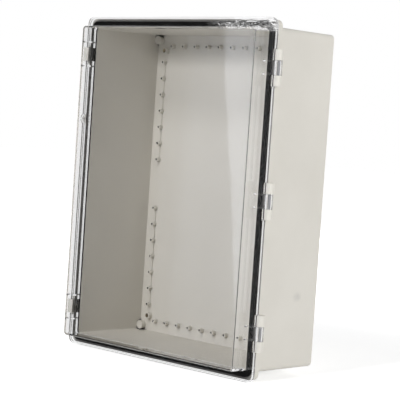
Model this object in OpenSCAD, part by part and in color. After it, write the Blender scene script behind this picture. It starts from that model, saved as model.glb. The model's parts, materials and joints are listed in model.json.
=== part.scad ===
// Hinged polycarbonate wall enclosure: a grey moulded body, a clear door with a raised
// window, a rubber seal, three pinned hinges on the right and two swing latches on the left.
// The front is at -Y, +X is to the right and +Z is up. Y = 0 is the flat back.
// Each piece is drawn lying on its back, width along X, height along Y and depth along Z,
// and stand() then tips it upright.

/* [Body] */
// Outside width of the body at its back
body_w = 351; // [300:1:420]
// Outside height of the body at its back
body_h = 465; // [440:1:560]
// Depth of the body from its back to the face of its rim
body_depth = 130.5; // [90:0.5:200]
// Thickness of the side walls
wall = 3.5; // [2.5:0.1:5]
// Thickness of the back wall
back_wall = 3.5; // [2.5:0.1:5]
// Outer radius of the four corners that run front to back
body_corner_r = 6; // [5.5:0.5:10]
// Rounding between the back and the sides
back_edge_r = 4; // [2:0.5:5]
// How far the outside of each wall flares out between back and rim
side_draft = 0.8; // [0.4:0.1:1.5]

/* [Rim] */
// How far the rim stands out from the body on every side
rim_reach = 9.5; // [8:0.5:13]
// Thickness of the rim's front plate
rim_plate = 4; // [3:0.5:6]
// Depth of the rim's turned-back outer edge
rim_depth = 8; // [7:0.5:12]
// Thickness of the rim's turned-back outer edge
rim_edge = 2.6; // [2:0.1:3.4]
// Outer corner radius of the rim
rim_corner_r = 9; // [6:0.5:12]

/* [Seal] */
// Width of the rubber seal
seal_w = 7.8; // [5:0.1:8.2]
// Thickness of the rubber seal
seal_t = 5.8; // [4:0.1:7]
// Depth of the seat that the seal lies in
seal_seat = 1.5; // [0.8:0.1:1.8]
// Thickness of the inner lip between the cavity and the seal
seal_lip = 1.4; // [1:0.1:1.8]
// Side clearance of the seal in its seat
seal_side_gap = 0.1; // [0.05:0.05:0.3]
// Gap between the seal and the closed door
seal_door_gap = 0.2; // [0.1:0.05:0.4]

/* [Door] */
// How far the door's edge stands out past the rim on every side
door_overhang = 2.5; // [1.5:0.1:3.5]
// Corner radius of the door's edge
door_corner_r = 11; // [8:0.5:14]
// Thickness of the door's flange
door_plate = 3.2; // [2.5:0.1:4.5]
// Depth of the small bead under the door's edge
door_bead = 1.5; // [0.8:0.1:2]
// Thickness of that bead
door_bead_t = 2; // [1.2:0.1:2.2]
// Depth of the raised window from the flange's underside to its front face
window_rise = 27; // [22:0.5:40]
// Inset of the window's front edge from the body's outside
window_inset = 3; // [2.5:0.1:5]
// How far the window's side walls flare out towards the flange
window_draft = 1; // [0.5:0.1:1.3]
// Thickness of the window's side walls
window_wall = 2.6; // [2.4:0.1:3.6]
// Thickness of the window's front
window_t = 3; // [2.5:0.1:5]
// Corner radius of the window
window_corner_r = 5; // [4.5:0.1:8]
// Rounding of the window's front edge
window_edge_r = 1.8; // [1:0.1:2.4]

/* [Hinges] */
// Distance of the outer hinges' middles from the body's top and bottom ends
hinge_inset = 55; // [42.5:0.5:92.5]
// Overall length of a hinge
hinge_len = 49.6; // [40:0.2:60]
// Length of the door's knuckle
door_knuckle_len = 19.6; // [14:0.2:24]
// Outer radius of the body's knuckles
knuckle_r = 5.7; // [5.2:0.1:6.5]
// Outer radius of the door's knuckle
door_knuckle_r = 4.9; // [4:0.1:5]
// Radius of the hinge pin
hinge_pin_r = 2; // [1.5:0.1:2.5]
// Distance of the pin's axis outside the rim
hinge_out = 5.5; // [5.3:0.1:7]
// Distance of the pin's axis in front of the rim's face
hinge_fwd = 1; // [0.5:0.1:2]
// Radial clearance of the pin in the body's knuckles
pin_fit = 0.03; // [0.01:0.01:0.05]
// Radial clearance of the pin in the moving piece
pin_run = 0.08; // [0.05:0.01:0.1]
// End gap beside a moving knuckle
knuckle_gap = 0.3; // [0.2:0.1:0.6]
// Thickness of the closed end that a pin stands on
pin_floor = 1.2; // [0.8:0.1:2]
// Thickness of the two stiffening ribs behind the door's knuckle
hinge_rib_t = 2; // [1.5:0.1:3]
// Height of those ribs at the window
hinge_rib_high = 6; // [4:0.5:9]
// Height of those ribs over the rim
hinge_rib_low = 2; // [1:0.5:4]

/* [Latches] */
// Distance of the latches' middles from the body's top and bottom ends
latch_inset = 43.5; // [32.5:0.5:82.5]
// Width of a latch lever
latch_w = 20; // [16:0.5:24]
// Thickness of the lever's arm
latch_arm_t = 2.8; // [2.2:0.1:3.4]
// Thickness of the claw over the door's edge
claw_t = 2.6; // [2:0.1:3.2]
// How far the claw reaches in over the door's flange
claw_reach = 6; // [5:0.5:9]
// Gap between lever and door
latch_gap = 0.4; // [0.3:0.1:0.8]
// Radius of the latch pin
latch_pin_r = 1.5; // [1.2:0.1:1.8]
// Radius of the lever's barrel
latch_barrel_r = 3.8; // [3.4:0.1:4.2]
// Distance of the latch pin behind the rim's face
latch_back = 4; // [3:0.5:5]
// Thickness of the body's two latch ears
latch_ear_t = 3.2; // [2.5:0.1:4]
// Clear width of the pocket in the door around a latch
pocket_w = 33.5; // [30:0.5:40]
// Thickness of the pocket's two ribs
pocket_rib_t = 2; // [1.5:0.1:2.5]
// Height of those ribs at the door's edge
pocket_rib_low = 7; // [5:0.5:9]
// Height of those ribs at the window
pocket_rib_high = 10; // [8:0.5:14]

/* [Seal eye] */
// Height of the seal eye above the middle
eye_z = 93; // [60:1:110]
// Radius of the seal eye's tab
eye_r = 8; // [7:0.5:9]
// Radius of the hole in the seal eye
eye_hole_r = 1.6; // [1:0.1:2]

/* [Bosses] */
// Pitch of the bosses on the back wall
boss_pitch = 25; // [24:0.5:26]
// Distance of the boss columns from the side faces
column_inset = 21.5; // [20:0.5:26]
// Distance of the boss rows from the top and bottom faces
row_inset = 20.7; // [19.5:0.1:24]
// Number of bosses on each half of a column
column_half = 7; // [4:1:7]
// Number of bosses in a row
row_count = 12; // [6:2:12]
// Height of the bosses above the back wall
boss_h = 7; // [5:0.5:10]
// Outer radius of a boss
boss_r = 3.4; // [2.8:0.1:3.6]
// Radius of a boss's screw hole
boss_hole_r = 1.7; // [1.2:0.1:1.8]
// Height of the low ribs that link the bosses
link_rib_h = 1.5; // [1:0.1:3]
// Thickness of the low ribs that link the bosses
link_rib_t = 1.4; // [1:0.1:2]

/* [Panel and wall fixings] */
// Distance of the corner bosses from the side faces
panel_inset_x = 23.7; // [22:0.1:26]
// Distance of the corner bosses from the top and bottom faces
panel_inset_z = 27.5; // [26:0.5:32]
// Outer radius of a corner boss
panel_boss_r = 5; // [4.6:0.1:5.4]
// Outer radius of a corner boss's brass insert
panel_insert_r = 3.2; // [2.8:0.1:3.6]
// Radius of the thread in a corner boss's insert
panel_thread_r = 2.1; // [1.6:0.1:2.4]
// Length of a corner boss's insert
panel_insert_len = 7; // [5:0.5:8]
// Distance of the wall fixings from the side faces
wall_fix_x = 9.5; // [9:0.1:12]
// Distance of the wall fixings from the top and bottom faces
wall_fix_z = 11.5; // [9:0.5:14]
// Outer radius of the pillars round the wall fixings
pillar_r = 6.5; // [5.5:0.1:7.5]
// Height of those pillars above the back wall
pillar_h = 8; // [6.5:0.5:12]
// Outer radius of a wall fixing's brass insert
wall_insert_r = 3.8; // [3.4:0.1:4.4]
// Radius of the thread in a wall fixing's insert
wall_thread_r = 2.5; // [2:0.1:3]
// Length of a wall fixing's insert
wall_insert_len = 8; // [6:0.5:9]
// Radial clearance of an insert in its hole
insert_fit = 0.02; // [0.01:0.01:0.05]

/* [Hidden] */
$fa = 10;
$fs = 0.6;
eps = 0.01;
bleed = 1;
body_x = body_w / 2;
body_z = body_h / 2;
inner_r = body_corner_r - wall;
rim_x = body_x + rim_reach;
rim_z = body_z + rim_reach;
seal_in = wall - seal_lip - seal_side_gap;
seal_door_y = body_depth - seal_seat + seal_t + seal_door_gap;
door_x = rim_x + door_overhang;
door_z = rim_z + door_overhang;
door_front = seal_door_y + window_rise;
flange_front = seal_door_y + door_plate;
window_x = body_x - window_inset;
window_z = body_z - window_inset;
hinge_x = rim_x + hinge_out;
hinge_d = body_depth + hinge_fwd;
hinge_top = body_z - hinge_inset;
hinge_rows = [hinge_top, 0, -hinge_top];
knuckle_len = (hinge_len - door_knuckle_len) / 2 - knuckle_gap;
// the door's knuckle grows out of the flange this far inside the rim's edge, and ends short of the axis
knuckle_root_x = rim_x - 3;
knuckle_neck_x = hinge_x - 2;
// directions from the axis at which the neck meets the knuckle
neck_front = 60;
neck_back = 157;
// play between the door's flange and the body's knuckles
knuckle_room = 0.7;
// the cut that gives this play: how far it starts behind the flange, its depth and its width
knuckle_cut_back = 2 * door_bead;
knuckle_cut_d = 6 * door_plate;
knuckle_cut_w = 4 * door_overhang;
// centre of the seal eye's tab, and of its hole just outside the door's edge
eye_x = door_x - eye_r / 2;
eye_hole_x = door_x + 0.24 * eye_r;
// waists that hold a brass insert: their depth, and where they start and end as shares of its length
waist_depth = 0.3;
waists = [[0.28, 0.4], [0.62, 0.74]];
arm_x = door_x + latch_gap;
latch_x = arm_x + latch_arm_t / 2;
latch_d = body_depth - latch_back;
claw_d = flange_front + latch_gap;
ear_y = latch_w / 2 + knuckle_gap;
latch_top = body_z - latch_inset;
latch_rows = [latch_top, -latch_top];
pocket_rib_x = door_x - 0.5;
// finger grip on the lever: distance of its first ridge from the pin, pitch and radius
grip_start = 5.5;
grip_pitch = 2.4;
grip_r = 0.7;
boss_top = back_wall + boss_h;
pillar_top = back_wall + pillar_h;
column_x = body_x - column_inset;
row_z = body_z - row_inset;
panel_x = body_x - panel_inset_x;
panel_z = body_z - panel_inset_z;
fix_x = body_x - wall_fix_x;
fix_z = body_z - wall_fix_z;
corners = [[-1, 1], [1, 1], [-1, -1], [1, -1]];
body_colour = [0.80, 0.79, 0.76];
clear_colour = [0.80, 0.86, 0.88, 0.35];

// Tips a piece drawn on its back upright, with its front towards -Y.
module stand() {
    rotate([90, 0, 0]) children();
}

// A rectangle with round corners, centred, given by its half sizes.
module round_rect(hx, hy, r) {
    square([2 * (hx - r), 2 * hy], center = true);
    square([2 * hx, 2 * (hy - r)], center = true);
    for (c = corners) translate([c[0] * (hx - r), c[1] * (hy - r)]) circle(r);
}

// A flat ring between two such rectangles.
module round_ring(hx, hy, r, hx_in, hy_in, r_in) {
    difference() {
        round_rect(hx, hy, r);
        round_rect(hx_in, hy_in, r_in);
    }
}

// Carries a wall profile round a rectangle. In the profile, x is the distance out from the
// centre of the corner radius and y is the height.
module carry_round(hx, hy, r) {
    for (s = [-1, 1]) {
        translate([s * (hx - r), 0, 0]) mirror([s < 0 ? 1 : 0, 0, 0])
            rotate([90, 0, 0]) linear_extrude(2 * (hy - r), center = true) children();
        translate([0, s * (hy - r), 0]) rotate([0, 0, s * 90])
            rotate([90, 0, 0]) linear_extrude(2 * (hx - r), center = true) children();
    }
    for (k = [0:3])
        translate([(k == 0 || k == 3 ? 1 : -1) * (hx - r), (k < 2 ? 1 : -1) * (hy - r), 0])
            rotate([0, 0, 90 * k]) rotate_extrude(angle = 90, $fn = 32) children();
}

// What comes off a profile to round an outside corner at [x, y]; up or down.
module corner_off(x, y, r, up) {
    difference() {
        translate([x - r, up ? y - r : y - bleed]) square(r + bleed);
        translate([x - r, up ? y - r : y + r]) circle(r, $fn = 24);
    }
}

// Extrudes a section drawn as [x, depth] along the height, centred on y.
module across(y, len) {
    translate([0, y + len / 2, 0]) rotate([90, 0, 0]) linear_extrude(len) children();
}

module bore(x, d, y, len, r) {
    across(y, len) translate([x, d]) circle(r, $fn = 32);
}

// ---------- body ----------

// Side wall with its rounded back edge, and the border of the back wall.
module wall_profile() {
    r = body_corner_r;
    e = back_edge_r;
    difference() {
        polygon([[0, 0], [r, 0], [r, e], [r + side_draft, body_depth],
            [r - wall, body_depth], [r - wall, back_wall], [0, back_wall]]);
        corner_off(r, 0, e, false);
    }
}

module shell() {
    carry_round(body_x, body_z, body_corner_r) wall_profile();
    translate([0, 0, back_wall / 2])
        cube([2 * (body_x - body_corner_r), 2 * (body_z - body_corner_r), back_wall], center = true);
    // front plate of the rim, rooted in the middle of the wall
    translate([0, 0, body_depth - rim_plate]) linear_extrude(rim_plate)
        round_ring(rim_x, rim_z, rim_corner_r,
            body_x - seal_in, body_z - seal_in, body_corner_r - seal_in);
    // its turned-back edge
    translate([0, 0, body_depth - rim_depth]) linear_extrude(rim_depth - bleed)
        round_ring(rim_x, rim_z, rim_corner_r,
            rim_x - rim_edge, rim_z - rim_edge, rim_corner_r - rim_edge);
}

module seal_ring(gap) {
    out = seal_w - seal_in;
    round_ring(body_x + out + gap, body_z + out + gap, body_corner_r + out + gap,
        body_x - seal_in - gap, body_z - seal_in - gap, body_corner_r - seal_in - gap);
}

module boss_places() {
    for (s = [-1, 1]) {
        for (i = [1:column_half], t = [-1, 1])
            translate([s * column_x, t * (i + 0.5) * boss_pitch, 0]) children();
        for (i = [0:row_count - 1])
            translate([(i - (row_count - 1) / 2) * boss_pitch, s * row_z, 0]) children();
    }
}

module link_ribs() {
    len_col = (column_half + 0.5) * boss_pitch;
    len_row = (row_count - 1) / 2 * boss_pitch;
    for (s = [-1, 1]) {
        for (t = [-1, 1])
            translate([s * column_x, t * (len_col + 1.5 * boss_pitch) / 2, back_wall + link_rib_h / 2 - eps])
                cube([link_rib_t, len_col - 1.5 * boss_pitch, link_rib_h], center = true);
        translate([0, s * row_z, back_wall + link_rib_h / 2 - eps])
            cube([2 * len_row, link_rib_t, link_rib_h], center = true);
    }
}

module at_panel(k) {
    translate([corners[k][0] * panel_x, corners[k][1] * panel_z, 0]) children();
}

module at_wall_fix(k) {
    translate([corners[k][0] * fix_x, corners[k][1] * fix_z, 0]) children();
}

// Two knuckles with the webs that carry them, on the side of the rim.
module body_knuckles(y) {
    for (s = [-1, 1])
        across(y + s * (hinge_len - knuckle_len) / 2, knuckle_len) {
            translate([hinge_x, hinge_d]) circle(knuckle_r, $fn = 32);
            polygon([[rim_x - bleed, body_depth], [rim_x - bleed, body_depth - rim_depth],
                [rim_x, body_depth - rim_depth], [hinge_x, hinge_d - knuckle_r], [hinge_x, body_depth]]);
        }
}

// Two ears that carry a latch pin, on the other side of the rim.
module latch_ears(y) {
    for (s = [-1, 1])
        across(y + s * (ear_y + latch_ear_t / 2), latch_ear_t) {
            translate([-latch_x, latch_d]) circle(latch_barrel_r, $fn = 24);
            polygon([[-rim_x + bleed, body_depth], [-rim_x + bleed, body_depth - rim_depth],
                [-rim_x, body_depth - rim_depth], [-latch_x, latch_d - latch_barrel_r],
                [-latch_x, latch_d + latch_barrel_r], [-rim_x, body_depth]]);
        }
}

module eye_shape() {
    difference() {
        translate([-eye_x, eye_z]) circle(eye_r, $fn = 48);
        translate([-rim_x + bleed, eye_z - 2 * eye_r]) square(4 * eye_r);
        translate([-eye_hole_x, eye_z]) circle(eye_hole_r, $fn = 24);
    }
}

module base_solid() {
    difference() {
        union() {
            shell();
            boss_places() translate([0, 0, back_wall - eps]) cylinder(boss_h + eps, boss_r, boss_r, $fn = 14);
            link_ribs();
            for (k = [0:3]) {
                at_panel(k) translate([0, 0, back_wall - eps])
                    cylinder(boss_h + eps, panel_boss_r, panel_boss_r);
                at_wall_fix(k) translate([0, 0, back_wall - eps])
                    cylinder(pillar_h + eps, pillar_r, pillar_r);
            }
            for (y = hinge_rows) body_knuckles(y);
            for (y = latch_rows) latch_ears(y);
            translate([0, 0, body_depth - rim_plate]) linear_extrude(rim_plate) eye_shape();
        }
        translate([0, 0, body_depth - seal_seat]) linear_extrude(seal_seat + bleed) seal_ring(seal_side_gap);
        boss_places() translate([0, 0, back_wall])
            cylinder(boss_h + bleed, boss_hole_r, boss_hole_r, $fn = 14);
        for (k = [0:3]) {
            at_panel(k) translate([0, 0, boss_top - panel_insert_len])
                cylinder(panel_insert_len + bleed, panel_insert_r + insert_fit, panel_insert_r + insert_fit);
            at_wall_fix(k) translate([0, 0, -bleed])
                cylinder(wall_insert_len + bleed, wall_insert_r + insert_fit, wall_insert_r + insert_fit);
        }
        for (y = hinge_rows)
            bore(hinge_x, hinge_d, y + (pin_floor + bleed) / 2,
                hinge_len - pin_floor + bleed, hinge_pin_r + pin_fit);
        for (y = latch_rows)
            bore(-latch_x, latch_d, y + (pin_floor + bleed) / 2,
                2 * (ear_y + latch_ear_t) - pin_floor + bleed, latch_pin_r + pin_fit);
    }
}

module base() {
    color(body_colour) stand() base_solid();
}

// ---------- seal ----------

module gasket() {
    color([0.07, 0.07, 0.07]) stand()
        translate([0, 0, body_depth - seal_seat]) linear_extrude(seal_t) seal_ring(0);
}

// ---------- door ----------

// Side wall of the raised window, with the border of its front.
module window_profile() {
    r = window_corner_r;
    e = window_edge_r;
    f = window_draft;
    difference() {
        polygon([[0, door_front], [r, door_front], [r, door_front - e],
            [r + f, seal_door_y], [r + f - window_wall, seal_door_y],
            [r - window_wall, door_front - window_t], [0, door_front - window_t]]);
        corner_off(r, door_front, e, true);
    }
}

module door_knuckle(y) {
    across(y, door_knuckle_len) {
        translate([hinge_x, hinge_d]) circle(door_knuckle_r, $fn = 32);
        polygon([[knuckle_root_x, seal_door_y], [knuckle_root_x, flange_front],
            [knuckle_neck_x, flange_front],
            [hinge_x + door_knuckle_r * cos(neck_front), hinge_d + door_knuckle_r * sin(neck_front)],
            [hinge_x, hinge_d],
            [hinge_x + door_knuckle_r * cos(neck_back), hinge_d + door_knuckle_r * sin(neck_back)]]);
    }
    for (s = [-1, 1])
        across(y + s * (door_knuckle_len - hinge_rib_t) / 2, hinge_rib_t)
            polygon([[window_x, flange_front - bleed], [window_x, flange_front + hinge_rib_high],
                [knuckle_root_x, flange_front + hinge_rib_low], [knuckle_neck_x, flange_front],
                [knuckle_neck_x, flange_front - bleed]]);
}

// The two ribs that stand either side of a latch.
module latch_pocket(y) {
    for (s = [-1, 1])
        across(y + s * (pocket_w + pocket_rib_t) / 2, pocket_rib_t)
            polygon([[-window_x, flange_front - bleed], [-window_x, flange_front + pocket_rib_high],
                [-pocket_rib_x, flange_front + pocket_rib_low], [-pocket_rib_x, flange_front - bleed]]);
}

module door_solid() {
    difference() {
        union() {
            carry_round(window_x, window_z, window_corner_r) window_profile();
            translate([0, 0, door_front - window_t / 2])
                cube([2 * (window_x - window_corner_r), 2 * (window_z - window_corner_r), window_t],
                    center = true);
            translate([0, 0, seal_door_y]) linear_extrude(door_plate)
                round_ring(door_x, door_z, door_corner_r,
                    window_x + window_draft - window_wall / 2, window_z + window_draft - window_wall / 2,
                    window_corner_r + window_draft - window_wall / 2);
            translate([0, 0, seal_door_y - door_bead]) linear_extrude(door_bead + bleed)
                round_ring(door_x, door_z, door_corner_r,
                    door_x - door_bead_t, door_z - door_bead_t, door_corner_r - door_bead_t);
            for (y = latch_rows) latch_pocket(y);
            translate([0, 0, seal_door_y]) linear_extrude(door_plate) eye_shape();
        }
        // room for the body's knuckles
        for (y = hinge_rows)
            translate([rim_x - knuckle_room, y - hinge_len / 2 - knuckle_gap, seal_door_y - knuckle_cut_back])
                cube([knuckle_cut_w, hinge_len + 2 * knuckle_gap, knuckle_cut_d]);
    }
    for (y = hinge_rows) door_knuckle(y);
}

module door() {
    color(clear_colour) stand()
        difference() {
            door_solid();
            for (y = hinge_rows) bore(hinge_x, hinge_d, y, hinge_len, hinge_pin_r + pin_run);
        }
}

// ---------- pins and latches ----------

module hinge_pin(y) {
    color([0.75, 0.75, 0.76]) stand()
        bore(hinge_x, hinge_d, y + pin_floor / 2, hinge_len - pin_floor, hinge_pin_r);
}

module hinge_pin_top() {
    hinge_pin(hinge_rows[0]);
}

module hinge_pin_middle() {
    hinge_pin(hinge_rows[1]);
}

module hinge_pin_bottom() {
    hinge_pin(hinge_rows[2]);
}

module latch_pin(y) {
    color([0.75, 0.75, 0.76]) stand()
        bore(-latch_x, latch_d, y + pin_floor / 2, 2 * (ear_y + latch_ear_t) - pin_floor, latch_pin_r);
}

module latch_pin_upper() {
    latch_pin(latch_rows[0]);
}

module latch_pin_lower() {
    latch_pin(latch_rows[1]);
}

// Section of the lever: a barrel on the pin, an arm past the door's edge and a claw over its flange.
module latch_profile() {
    out = arm_x + latch_arm_t;
    top = claw_d + claw_t;
    round_r = 1;
    translate([-latch_x, latch_d]) circle(latch_barrel_r, $fn = 24);
    translate([-out, latch_d]) square([latch_arm_t, top - latch_d - round_r]);
    translate([-out + round_r, claw_d]) square([claw_reach + latch_arm_t - round_r, claw_t]);
    translate([-out + round_r, top - round_r]) circle(round_r, $fn = 24);
    translate([-arm_x + claw_reach, claw_d + claw_t / 2]) circle(claw_t / 2, $fn = 24);
    for (i = [0:2]) translate([-out, latch_d + grip_start + grip_pitch * i]) circle(grip_r, $fn = 16);
}

module latch(y) {
    color(body_colour) stand()
        difference() {
            across(y, latch_w) latch_profile();
            bore(-latch_x, latch_d, y, latch_w + bleed, latch_pin_r + pin_run);
        }
}

module latch_upper() {
    latch(latch_rows[0]);
}

module latch_lower() {
    latch(latch_rows[1]);
}

// ---------- brass inserts ----------

// A threaded insert with two waists, standing on z = 0.
module insert(r, hole_r, len) {
    neck = r - waist_depth;
    rotate_extrude($fn = 32)
        polygon([[hole_r, 0], [r, 0],
            for (w = waists) each [[r, w[0] * len], [neck, w[0] * len], [neck, w[1] * len], [r, w[1] * len]],
            [r, len], [hole_r, len]]);
}

module panel_insert(k) {
    color([0.78, 0.62, 0.30]) stand() at_panel(k)
        translate([0, 0, boss_top - panel_insert_len])
            insert(panel_insert_r, panel_thread_r, panel_insert_len);
}

module wall_insert(k) {
    color([0.78, 0.62, 0.30]) stand() at_wall_fix(k)
        insert(wall_insert_r, wall_thread_r, wall_insert_len);
}

base();
door();
gasket();
hinge_pin_top();
hinge_pin_middle();
hinge_pin_bottom();
latch_upper();
latch_lower();
latch_pin_upper();
latch_pin_lower();
panel_insert(0);  // panel_insert_top_left
panel_insert(1);  // panel_insert_top_right
panel_insert(2);  // panel_insert_bottom_left
panel_insert(3);  // panel_insert_bottom_right
wall_insert(0);  // wall_insert_top_left
wall_insert(1);  // wall_insert_top_right
wall_insert(2);  // wall_insert_bottom_left
wall_insert(3);  // wall_insert_bottom_right
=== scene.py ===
# Clear-door wall enclosure: camera, soft studio light, finishes and the fine pieces round the CAD frame.
import json
import math

import bmesh
import bpy
import numpy as np
from mathutils import Matrix, Vector


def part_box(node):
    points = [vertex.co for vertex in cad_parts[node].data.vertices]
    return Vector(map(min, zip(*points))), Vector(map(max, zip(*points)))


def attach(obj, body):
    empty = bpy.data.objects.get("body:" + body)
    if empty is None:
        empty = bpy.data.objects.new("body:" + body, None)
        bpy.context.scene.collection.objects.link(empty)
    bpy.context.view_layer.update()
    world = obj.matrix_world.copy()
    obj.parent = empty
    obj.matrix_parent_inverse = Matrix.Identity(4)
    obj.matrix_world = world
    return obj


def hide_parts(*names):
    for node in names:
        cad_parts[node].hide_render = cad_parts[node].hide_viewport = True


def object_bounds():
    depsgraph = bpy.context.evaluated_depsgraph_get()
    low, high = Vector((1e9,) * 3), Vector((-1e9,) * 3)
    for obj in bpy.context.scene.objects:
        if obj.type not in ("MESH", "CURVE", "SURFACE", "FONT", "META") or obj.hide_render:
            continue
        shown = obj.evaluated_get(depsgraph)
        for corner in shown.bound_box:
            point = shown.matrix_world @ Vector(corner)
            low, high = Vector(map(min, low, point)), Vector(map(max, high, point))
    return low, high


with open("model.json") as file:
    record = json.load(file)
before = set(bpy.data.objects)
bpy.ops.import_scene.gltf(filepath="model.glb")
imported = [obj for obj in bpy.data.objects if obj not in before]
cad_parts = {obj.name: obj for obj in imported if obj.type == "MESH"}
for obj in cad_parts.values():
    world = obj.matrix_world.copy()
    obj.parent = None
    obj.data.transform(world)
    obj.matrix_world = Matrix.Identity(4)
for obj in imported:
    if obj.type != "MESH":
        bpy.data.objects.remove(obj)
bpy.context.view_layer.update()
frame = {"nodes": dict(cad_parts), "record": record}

nodes = frame["nodes"]
scene = bpy.context.scene


# the camera stands to the right of the front, a little above the middle

cameraSetup = {
    "azimuth": 44.16,  # degrees round the object, from straight in front towards its right
    "elevation": 2.96,
    "roll": 3.87,
    "distance": 2.2606,  # metres from the aim
    "aim": (-0.0552, -0.0105, -0.0172),
    "lens": 135.55,
}


def directionOf(azimuth, elevation):
    # unit vector from the object: azimuth 0 is straight in front, 90 its right side
    a, e = math.radians(azimuth), math.radians(elevation)
    return Vector((math.sin(a) * math.cos(e), -math.cos(a) * math.cos(e), math.sin(e)))


def makeCamera(setup):
    # the camera looks back along that direction, then turns about it by the roll
    roll = math.radians(setup["roll"])
    back = directionOf(setup["azimuth"], setup["elevation"])
    right = (-back).cross(Vector((0, 0, 1))).normalized()
    up = right.cross(-back)
    side = right * math.cos(roll) + up * math.sin(roll)
    top = up * math.cos(roll) - right * math.sin(roll)
    place = Vector(setup["aim"]) + back * setup["distance"]
    camera = bpy.data.objects.new("camera", bpy.data.cameras.new("camera"))
    camera.data.lens = setup["lens"]
    camera.data.clip_start, camera.data.clip_end = 0.1, 50
    turn = Matrix((side, top, back)).transposed().to_4x4()
    camera.matrix_world = Matrix.Translation(place) @ turn
    scene.collection.objects.link(camera)
    scene.camera = camera


makeCamera(cameraSetup)
print("camera made")


def newMaterial(name):
    material = bpy.data.materials.new(name)
    material.use_nodes = True
    material.node_tree.nodes.clear()
    return material, material.node_tree


def addNode(tree, kind, links=None, values=None, **settings):
    # links and values are given by socket name or number; links takes sockets, values takes plain numbers
    node = tree.nodes.new("ShaderNode" + kind)
    for key, value in settings.items():
        setattr(node, key, value)
    for key, value in (values or {}).items():
        node.inputs[key].default_value = value
    for key, socket in (links or {}).items():
        tree.links.new(socket, node.inputs[key])
    return node


studio = {
    "ambient": 0.05,  # level of the room's light on the object
    "ambientColour": (0.94, 0.98, 1.10),
    "floorColour": (0.86, 0.86, 0.85),
    "floorReach": 9.0,
    "floorGlow": 0.62,  # added for the camera only, so that the lit floor shows white
    "glowRise": (0.4, 2.2),  # metres from the object between which the glow rises to full white
    "lampDistance": 2.8,
    "lampAim": (0, -0.08, 0),
}
# soft boxes round the object: degrees from straight in front towards its right, degrees up, metres across
# and watts
lamps = {
    "frontKey": {"azimuth": 4, "elevation": 20, "size": 0.5, "power": 32},
    "frontHigh": {"azimuth": 5, "elevation": 45, "size": 0.5, "power": 18},
    "frontLeft": {"azimuth": -12, "elevation": 8, "size": 0.5, "power": 5, "colour": (0.90, 0.97, 1.12)},
    "left": {"azimuth": -30, "elevation": 0, "size": 0.5, "power": 4.9, "colour": (0.86, 0.96, 1.2)},
    "side": {"azimuth": 100, "elevation": 9, "size": 1.1, "power": 47},
    "behind": {"azimuth": -145, "elevation": 20, "size": 1.2, "power": 28},
}


def shownWhite(tree):
    # 1 for rays from the camera, from glossy surfaces and through glass, and 0 for the rest
    path = addNode(tree, "LightPath")
    direct = addNode(tree, "Math", {0: path.outputs["Is Camera Ray"], 1: path.outputs["Is Glossy Ray"]},
                     operation="MAXIMUM")
    return addNode(tree, "Math", {0: direct.outputs[0], 1: path.outputs["Is Transmission Ray"]},
                   operation="MAXIMUM").outputs[0]


def makeWorld():
    world = bpy.data.worlds.new("studioRoom")
    world.use_nodes = True
    tree = world.node_tree
    tree.nodes.clear()
    room = addNode(tree, "Background", values={"Color": (*studio["ambientColour"], 1),
                                               "Strength": studio["ambient"]})
    white = addNode(tree, "Background", values={"Color": (1, 1, 1, 1), "Strength": 1.0})
    mix = addNode(tree, "MixShader", {0: shownWhite(tree), 1: room.outputs[0], 2: white.outputs[0]})
    addNode(tree, "OutputWorld", {"Surface": mix.outputs[0]})
    scene.world = world


def makeFloor():
    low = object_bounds()[0].z
    material, tree = newMaterial("paleFloor")
    base = addNode(tree, "BsdfDiffuse", values={"Color": (*studio["floorColour"], 1)})
    # the rising glow leaves no horizon
    away = addNode(tree, "VectorMath", {0: addNode(tree, "TexCoord").outputs["Object"]}, operation="LENGTH")
    level = addNode(tree, "MapRange", {"Value": away.outputs["Value"]},
                    {"From Min": studio["glowRise"][0], "From Max": studio["glowRise"][1],
                     "To Min": studio["floorGlow"], "To Max": 1.0})
    glow = addNode(tree, "Emission", {"Strength": addNode(
        tree, "Math", {0: addNode(tree, "LightPath").outputs["Is Camera Ray"], 1: level.outputs[0]},
        operation="MULTIPLY").outputs[0]})
    both = addNode(tree, "AddShader", {0: base.outputs[0], 1: glow.outputs[0]})
    addNode(tree, "OutputMaterial", {"Surface": both.outputs[0]})
    reach = studio["floorReach"]
    mesh = bpy.data.meshes.new("floor")
    mesh.from_pydata([(-reach, -reach, low), (reach, -reach, low), (reach, reach, low), (-reach, reach, low)],
                     [], [(0, 1, 2, 3)])
    mesh.materials.append(material)
    floor = bpy.data.objects.new("floor", mesh)
    # gloss and glass look past the floor to the white room, so that no horizon lies across the clear front
    floor.visible_glossy = False
    floor.visible_transmission = False
    scene.collection.objects.link(floor)


def makeLamp(name, setup):
    light = bpy.data.lights.new(name, "AREA")
    light.shape = "SQUARE"
    light.size = setup["size"]
    light.energy = setup["power"]
    light.color = setup.get("colour", (1, 1, 1))
    lamp = bpy.data.objects.new(name, light)
    place = directionOf(setup["azimuth"], setup["elevation"]) * studio["lampDistance"]
    lamp.location = place
    lamp.rotation_euler = (Vector(studio["lampAim"]) - place).to_track_quat("-Z", "Y").to_euler()
    lamp.visible_camera = lamp.visible_transmission = False
    lamp.visible_glossy = False  # no hot line along the clear edges
    scene.collection.objects.link(lamp)


# what the front pane mirrors towards the camera: a dark card with a pale strip before it
cards = {
    "darkCard": {"distance": 3.0, "level": (0.03, 0.03, 0.03), "top": (-0.45, 0.40), "bottom": (-0.45, 0.40),
                 "low": -0.62, "high": 0.62},
    "paleStrip": {"distance": 2.6, "level": (1.06, 1.1, 1.2), "top": (0.112, 0.1725),
                  "bottom": (0.172, 0.1725), "low": -0.16, "high": 0.25},
}


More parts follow.
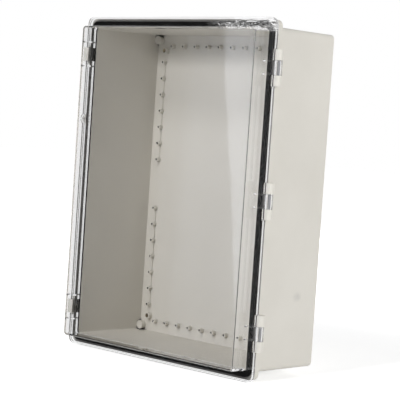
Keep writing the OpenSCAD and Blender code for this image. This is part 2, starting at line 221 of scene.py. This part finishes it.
def makeCard(name, setup):
    # corners given on the front pane as (across, up) in metres, carried out to the card's distance along
    # the mirrored line of sight, so a card stands exactly where the pane shows it
    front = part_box("door")[0].y
    eye = scene.camera.matrix_world.translation.copy()
    eye.y = 2 * front - eye.y
    marks = [(setup["bottom"][0], setup["low"]), (setup["bottom"][1], setup["low"]),
             (setup["top"][1], setup["high"]), (setup["top"][0], setup["high"])]
    corners = []
    for across, up in marks:
        mark = Vector((across, front, up))
        corners.append(mark + (mark - eye) * (setup["distance"] / (mark - eye).length))
    material, tree = newMaterial(name)
    addNode(tree, "OutputMaterial", {"Surface": addNode(
        tree, "Emission", values={"Color": (*setup["level"], 1)}).outputs[0]})
    mesh = bpy.data.meshes.new(name)
    mesh.from_pydata([tuple(corner) for corner in corners], [], [(0, 1, 2, 3)])
    mesh.materials.append(material)
    card = bpy.data.objects.new(name, mesh)
    for kind in ("camera", "diffuse", "shadow", "volume_scatter"):
        setattr(card, "visible_" + kind, False)
    scene.collection.objects.link(card)


makeWorld()
makeFloor()
for name, setup in lamps.items():
    makeLamp(name, setup)
for name, setup in cards.items():
    makeCard(name, setup)
scene.view_settings.view_transform = "Standard"
print("studio made")


def objectPlace(tree):
    return addNode(tree, "TexCoord").outputs["Object"]


def noise(tree, place, scale, detail=2.0, roughness=0.5):
    return addNode(tree, "TexNoise", {"Vector": place},
                   {"Scale": scale, "Detail": detail, "Roughness": roughness}).outputs["Fac"]


def toRange(tree, socket, low, high, fromLow=0.3, fromHigh=0.7):
    return addNode(tree, "MapRange", {"Value": socket},
                   {"From Min": fromLow, "From Max": fromHigh, "To Min": low, "To Max": high}).outputs[0]


def tint(tree, factor, first, second):
    # first and second are plain colours or colour sockets
    node = addNode(tree, "Mix", data_type="RGBA")
    tree.links.new(factor, node.inputs[0])
    for socket, value in ((node.inputs[6], first), (node.inputs[7], second)):
        if isinstance(value, tuple):
            socket.default_value = (*value, 1)
        else:
            tree.links.new(value, socket)
    return node.outputs[2]


def bump(tree, height, strength, distance):
    return addNode(tree, "Bump", {"Height": height}, {"Strength": strength, "Distance": distance}).outputs[0]


def nearness(tree, place, spot):
    # 1 within the spot's inner distance, falling to 0 at the outer one; stretch scales the axes first
    shifted = addNode(tree, "VectorMath", {0: place}, {1: spot["place"]}, operation="SUBTRACT")
    scaled = addNode(tree, "VectorMath", {0: shifted.outputs[0]}, {1: spot["stretch"]}, operation="MULTIPLY")
    away = addNode(tree, "VectorMath", {0: scaled.outputs[0]}, operation="LENGTH")
    return addNode(tree, "MapRange", {"Value": away.outputs["Value"]},
                   {"From Min": spot["inner"], "From Max": spot["outer"], "To Min": 1.0, "To Max": 0.0},
                   interpolation_type="SMOOTHSTEP").outputs[0]


def times(tree, first, second):
    node = addNode(tree, "Math", operation="MULTIPLY")
    for k, value in enumerate((first, second)):
        if isinstance(value, (int, float)):
            node.inputs[k].default_value = value
        else:
            tree.links.new(value, node.inputs[k])
    return node.outputs[0]


def withPaintedShade(tree, colour, paintedShade):
    # painted shade: the colour as it is in the open, going over to a dark shade colour in holes and tight
    # corners, where little light reaches
    closed = addNode(tree, "AmbientOcclusion", values={"Distance": paintedShade["reach"]}, samples=8)
    share = toRange(tree, closed.outputs["AO"], paintedShade["share"], 0.0, *paintedShade["range"])
    return tint(tree, share, colour, paintedShade["colour"])


greyBody = {
    "light": (0.715, 0.690, 0.632),
    "dark": (0.680, 0.655, 0.597),
    "roughness": (0.42, 0.56),
    "index": 1.58,
    "cloud": 9,  # broad changes of tone, per metre
    "grain": 1500,  # the spark-eroded satin of the mould, per metre
    "grainBump": (0.25, 0.00004),  # strength, and height in metres
    # painted shade down the screw holes
    "paintedShade": {"colour": (0.03, 0.029, 0.028), "reach": 0.006, "share": 0.92, "range": (0.3, 0.5)},
    # one rubbed mark on the side
    "scuff": {"place": (0.1757, -0.0434, -0.1327), "stretch": (1, 1, 1.3), "inner": 0.0023, "outer": 0.0115,
              "share": 0.6, "grain": 400, "colour": (0.42, 0.41, 0.39)},
}


def makeGreyBody(name, look):
    material, tree = newMaterial(name)
    place = objectPlace(tree)
    cloud = noise(tree, place, look["cloud"], 4, 0.6)
    grain = noise(tree, place, look["grain"], 3, 0.6)
    scuff = look["scuff"]
    mark = times(tree, nearness(tree, place, scuff), scuff["share"])
    mark = times(tree, mark, noise(tree, place, scuff["grain"], 3, 0.6))
    colour = tint(tree, toRange(tree, cloud, 0, 1), look["light"], look["dark"])
    # painted shade down the screw holes
    colour = withPaintedShade(tree, tint(tree, mark, colour, scuff["colour"]), look["paintedShade"])
    shader = addNode(tree, "BsdfPrincipled",
                     {"Base Color": colour, "Roughness": toRange(tree, cloud, *look["roughness"]),
                      "Normal": bump(tree, grain, *look["grainBump"])},
                     {"IOR": look["index"]})
    addNode(tree, "OutputMaterial", {"Surface": shader.outputs[0]})
    return material


clearDoor = {
    "tint": (0.985, 0.985, 0.988),
    "shade": (0.96, 0.957, 0.957),  # on light that goes straight through
    "index": 1.585,
    "roughness": (0.01, 0.035),
    "haze": 60,  # changes of roughness, per metre
    "ripple": 14,  # slow waves of the moulding, per metre
    "rippleBump": (0.12, 0.0006),
    # swirls that the hot plastic left at the top right corner
    "flow": {"place": (0.165, -0.150, 0.234), "stretch": (0.42, 0.7, 6.0), "inner": 0.014, "outer": 0.050},
    "swirl": {"scale": 85, "stretch": (0.5, 1, 1.6), "curl": 1.8, "height": 0.0095},
    "turns": 2.5,  # reflections inside the plastic after which light is let out
}


def makeClearDoor(name, look):
    # glass for sight and gloss; light from lamps and walls goes straight through
    material, tree = newMaterial(name)
    place = objectPlace(tree)
    ripple = bump(tree, noise(tree, place, look["ripple"], 1, 0.4), *look["rippleBump"])
    swirl = look["swirl"]
    stretched = addNode(tree, "Mapping", {"Vector": place}, {"Scale": swirl["stretch"]})
    streaks = addNode(tree, "TexNoise", {"Vector": stretched.outputs[0]},
                      {"Scale": swirl["scale"], "Detail": 1.0, "Distortion": swirl["curl"]})
    height = times(tree, nearness(tree, place, look["flow"]), streaks.outputs["Fac"])
    uneven = addNode(tree, "Bump", {"Height": height, "Normal": ripple},
                     {"Strength": 1.0, "Distance": swirl["height"]})
    haze = noise(tree, place, look["haze"], 4, 0.6)
    glass = addNode(tree, "BsdfPrincipled",
                    {"Roughness": toRange(tree, haze, *look["roughness"]), "Normal": uneven.outputs[0]},
                    {"Base Color": (*look["tint"], 1), "Transmission Weight": 1.0, "IOR": look["index"]})
    straight = addNode(tree, "BsdfTransparent", values={"Color": (*look["shade"], 1)})
    path = addNode(tree, "LightPath")
    lit = addNode(tree, "Math", {0: path.outputs["Is Shadow Ray"], 1: path.outputs["Is Diffuse Ray"]},
                  operation="MAXIMUM")
    trapped = addNode(tree, "Math", {0: path.outputs["Glossy Depth"]}, {1: look["turns"]},
                      operation="GREATER_THAN")
    through = addNode(tree, "Math", {0: lit.outputs[0], 1: trapped.outputs[0]}, operation="MAXIMUM")
    both = addNode(tree, "MixShader", {0: through.outputs[0], 1: glass.outputs[0], 2: straight.outputs[0]})
    addNode(tree, "OutputMaterial", {"Surface": both.outputs[0]})
    return material


plainLooks = {
    "sealRubber": {"colours": ((0.004, 0.004, 0.004), (0.008, 0.0078, 0.0075)), "roughness": (0.5, 0.7),
                   "metallic": 0.0, "gloss": 0.06, "grain": 900, "grainBump": (0.3, 0.00005)},
    "steelPin": {"colours": ((0.30, 0.30, 0.31), (0.24, 0.24, 0.25)), "roughness": (0.25, 0.4),
                 "metallic": 1.0, "gloss": 0.5, "grain": 2500, "grainBump": (0.3, 0.00001)},
    "brassInsert": {"colours": ((0.42, 0.36, 0.24), (0.31, 0.26, 0.17)), "roughness": (0.3, 0.45),
                    "metallic": 1.0, "gloss": 0.5, "grain": 2500, "grainBump": (0.3, 0.00001),
                    # painted shade down the bore and between the ridges
                    "paintedShade": {"colour": (0.05, 0.045, 0.04), "reach": 0.004, "share": 0.9,
                             "range": (0.15, 0.6)}},
}


def makePlain(name, look):
    material, tree = newMaterial(name)
    place = objectPlace(tree)
    cloud = noise(tree, place, look["grain"] / 20, 4, 0.6)
    grain = noise(tree, place, look["grain"], 3, 0.6)
    colour = tint(tree, toRange(tree, cloud, 0, 1), *look["colours"])
    # painted shade in the hollows, where the look has one
    if "paintedShade" in look:
        colour = withPaintedShade(tree, colour, look["paintedShade"])
    shader = addNode(tree, "BsdfPrincipled",
                     {"Base Color": colour, "Roughness": toRange(tree, cloud, *look["roughness"]),
                      "Normal": bump(tree, grain, *look["grainBump"])},
                     {"Specular IOR Level": look["gloss"], "Metallic": look["metallic"]})
    addNode(tree, "OutputMaterial", {"Surface": shader.outputs[0]})
    return material


finishes = {
    "base": makeGreyBody("greyPolycarbonate", greyBody),
    "door": makeClearDoor("clearPolycarbonate", clearDoor),
    "gasket": makePlain("sealRubber", plainLooks["sealRubber"]),
    "pin": makePlain("steelPin", plainLooks["steelPin"]),
    "insert": makePlain("brassInsert", plainLooks["brassInsert"]),
}


def finishFor(name):
    # the levers are moulded in the body's own plastic
    for word, finish in (("insert", "insert"), ("pin", "pin"), ("latch", "base")):
        if word in name:
            return finishes[finish]
    return finishes[name]


for name, node in nodes.items():
    node.data.materials.clear()
    node.data.materials.append(finishFor(name))
print("finishes made")


def meshPiece(name, points, faces, material, creaseDegrees=35):
    mesh = bpy.data.meshes.new(name)
    mesh.from_pydata(points, [], faces)
    mesh.materials.append(material)
    mesh.polygons.foreach_set("use_smooth", np.ones(len(mesh.polygons), dtype=bool))
    mesh.set_sharp_from_angle(angle=math.radians(creaseDegrees))
    piece = bpy.data.objects.new(name, mesh)
    scene.collection.objects.link(piece)
    return piece


def ringFaces(rows, columns):
    # quads of a grid that closes on itself in both directions, row by row
    row, column = np.meshgrid(np.arange(rows), np.arange(columns), indexing="ij")
    nextRow, nextColumn = (row + 1) % rows, (column + 1) % columns
    quads = np.stack([row * columns + column, nextRow * columns + column,
                      nextRow * columns + nextColumn, row * columns + nextColumn], axis=-1)
    return quads.reshape(-1, 4).tolist()


def gridPoints(x, y, z):
    # one point for each row and column of the three arrays, row by row
    return np.stack(np.broadcast_arrays(x, y, z), axis=-1).reshape(-1, 3).tolist()


def ridges(turn, count):
    # 0 to 1 and back, count times round a full turn
    return 0.5 - 0.5 * np.cos(count * turn)


def standFor(piece, node, body):
    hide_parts(node)
    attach(piece, body)


seal = {
    "width": 0.0078,
    "cornerRadius": 0.0118,  # of the outer edge
    "squeeze": 0.00025,  # how far the crown passes the plain seal's top, to lie against the closed door
    "squareness": 0.3,  # power of the section's curve: 1 is round and 0 square
    "crown": 0.9,  # share of the height above which the two grooves are cut
    "groove": {"depth": 0.0005, "place": 0.45, "reach": 0.12},  # place and reach in half widths
    "cornerSteps": 14,
    "profileSteps": 72,
}


def makeSeal(setup):
    # a squashed D section carried along a rounded rectangle: the section's half width is w and its height h;
    # across = w * sign(cos a) * |cos a|^p, up = h * (0.5 + 0.5 * sign(sin a) * |sin a|^p), with p the
    # squareness, less two shallow cosine grooves along the crown
    low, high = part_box("gasket")
    half = setup["width"] / 2
    radius = setup["cornerRadius"] - half
    reachX, reachZ = high.x - half - radius, high.z - half - radius
    corner = np.linspace(0, math.pi / 2, setup["cornerSteps"])
    turn = np.concatenate([corner + k * math.pi / 2 for k in range(4)])
    centreX = np.repeat([reachX, -reachX, -reachX, reachX], len(corner))
    centreZ = np.repeat([reachZ, reachZ, -reachZ, -reachZ], len(corner))
    angle = np.linspace(0, 2 * math.pi, setup["profileSteps"], endpoint=False)
    power, groove = setup["squareness"], setup["groove"]
    across = half * np.sign(np.cos(angle)) * np.abs(np.cos(angle)) ** power
    up = 0.5 + 0.5 * np.sign(np.sin(angle)) * np.abs(np.sin(angle)) ** power
    height = high.y - low.y + setup["squeeze"]
    near = np.clip(1 - np.abs(np.abs(across) / half - groove["place"]) / groove["reach"], 0, 1)
    cut = groove["depth"] * (0.5 - 0.5 * np.cos(math.pi * near))
    depth = up * height - np.where(up > setup["crown"], cut, 0)
    out = radius + across[None, :]
    x = centreX[:, None] + out * np.cos(turn)[:, None]
    z = centreZ[:, None] + out * np.sin(turn)[:, None]
    points = gridPoints(x, high.y - depth[None, :], z)
    piece = meshPiece("seal_bead", points, ringFaces(len(turn), len(angle)), finishes["gasket"])
    standFor(piece, "gasket", "box")


makeSeal(seal)
print("seal made")


insert = {
    "around": 96,
    "chamfer": 0.0003,
    "knurls": 24,
    "knurlDepth": 0.00018,
    "waists": ((0.28, 0.40), (0.62, 0.74)),  # two bands that hold the sleeve, as shares of its length
    "waistEdge": 0.001,  # share of the length over which a waist starts or stops
    "waistDepth": 0.0003,
    "threads": {"wall": {"pitch": 0.001, "depth": 0.0006}, "panel": {"pitch": 0.0008, "depth": 0.0005}},
    "threadSteps": 6,  # points along one pitch
    "crease": 50,
}


def boreOf(kind):
    mount = {"wall": "wall_fixings", "panel": "panel_bosses"}[kind]
    return next(m["dims"]["hole_r_mm"] for m in frame["record"]["mounts"] if m["name"] == mount) / 1000


def makeInsert(node, setup):
    # a turned sleeve, closed round its section: radius = outer - knurl * (0.5 - 0.5 cos(n * turn)) outside,
    # and radius = bore + depth * triangle(along / pitch - turn / 360) inside
    kind = node.split("_")[0]
    thread, bore = setup["threads"][kind], boreOf(kind)
    low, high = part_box(node)
    outer, length = (high.x - low.x) / 2, high.y - low.y
    chamfer, edge = setup["chamfer"], setup["waistEdge"]
    stops = [length * share for start, stop in setup["waists"]
             for share in (start, start + edge, stop, stop + edge)]
    alongOut = np.array([0, chamfer] + stops + [length - chamfer, length])
    waist = np.array([0, 0] + [0, 1, 1, 0] * len(setup["waists"]) + [0, 0], dtype=float)
    trim = np.array([chamfer] + [0] * (len(alongOut) - 2) + [chamfer])
    knurled = 1 - np.maximum(waist, trim > 0)
    alongIn = np.linspace(length - chamfer, chamfer, int(length / thread["pitch"] * setup["threadSteps"]))
    turn = np.linspace(0, 2 * math.pi, setup["around"], endpoint=False)[:, None]
    knurl = knurled * setup["knurlDepth"] * ridges(turn, setup["knurls"])
    outside = outer - trim - waist * setup["waistDepth"] - knurl
    phase = (alongIn / thread["pitch"] - turn / (2 * math.pi)) % 1
    inside = bore + thread["depth"] * (1 - np.abs(2 * phase - 1))
    mouth = np.full_like(turn, bore + thread["depth"] + chamfer)
    radius = np.concatenate([outside, mouth, inside, mouth], axis=1)
    along = np.concatenate([alongOut, [length], alongIn, [0]])
    middle = (low + high) / 2
    points = gridPoints(middle.x + radius * np.cos(turn), high.y - along, middle.z + radius * np.sin(turn))
    piece = meshPiece(node + "_sleeve", points, ringFaces(len(turn), len(along)), finishes["insert"],
                      setup["crease"])
    standFor(piece, node, "box")


pin = {
    "around": 48,
    "chamfer": 0.0004,
    "flutes": 16,
    "fluteDepth": 0.00006,
    "fluted": (0.70, 0.92),  # shares of the length between which the pin is fluted to hold in its knuckle
}


def makePin(node, setup):
    # a turned rod: radius = full - chamfer at the ends - flutes * (0.5 - 0.5 cos(n * turn)) on the held part
    low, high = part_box(node)
    full, length = (high.x - low.x) / 2, high.z - low.z
    chamfer = setup["chamfer"]
    start, stop = (length * share for share in setup["fluted"])
    along = np.array([0, chamfer, start - chamfer, start, stop, stop + chamfer, length - chamfer, length])
    trim = np.array([chamfer, 0, 0, 0, 0, 0, 0, chamfer])[:, None]
    held = np.array([0, 0, 0, 1, 1, 0, 0, 0])[:, None]
    turn = np.linspace(0, 2 * math.pi, setup["around"], endpoint=False)
    radius = full - trim - held * setup["fluteDepth"] * ridges(turn, setup["flutes"])
    middle = (low + high) / 2
    points = gridPoints(middle.x + radius * np.cos(turn), middle.y + radius * np.sin(turn),
                        low.z + along[:, None])
    count = len(turn)
    # here the rows run along the pin, which turns its quads over, and each end has a face of its own instead
    # of the quads that join the last row to the first
    sides = [face[::-1] for face in ringFaces(len(along), count) if abs(face[0] - face[2]) < 2 * count]
    ends = [list(range(count))[::-1], list(range(len(points) - count, len(points)))]
    piece = meshPiece(node + "_rod", points, sides + ends, finishes["pin"])
    standFor(piece, node, "box")


for node in nodes:
    if "insert" in node:
        makeInsert(node, insert)
    elif "pin" in node:
        makePin(node, pin)
print("inserts and pins made")


lever = {
    "edge": 0.00035,  # width of the rounded edges
    "steps": 2,
    "sharp": 32,  # degrees past which an edge is rounded
    "flat": 1,  # degrees within which faces are joined into one
    "touching": 0.000002,  # metres within which corners are one
}


def makeLever(node, setup):
    # the lever's own solid with its loose faces joined and every edge rounded
    mesh = nodes[node].data.copy()
    shape = bmesh.new()
    shape.from_mesh(mesh)
    bmesh.ops.remove_doubles(shape, verts=shape.verts, dist=setup["touching"])
    bmesh.ops.dissolve_limit(shape, angle_limit=math.radians(setup["flat"]),
                             verts=shape.verts, edges=shape.edges)
    shape.to_mesh(mesh)
    shape.free()
    mesh.name = node + "_lever"
    piece = bpy.data.objects.new(mesh.name, mesh)
    scene.collection.objects.link(piece)
    rounding = piece.modifiers.new("rounding", "BEVEL")
    rounding.width = setup["edge"]
    rounding.segments = setup["steps"]
    rounding.limit_method = "ANGLE"
    rounding.angle_limit = math.radians(setup["sharp"])
    rounding.harden_normals = True
    standFor(piece, node, node)


for node in ("latch_upper", "latch_lower"):
    makeLever(node, lever)
print("levers made")
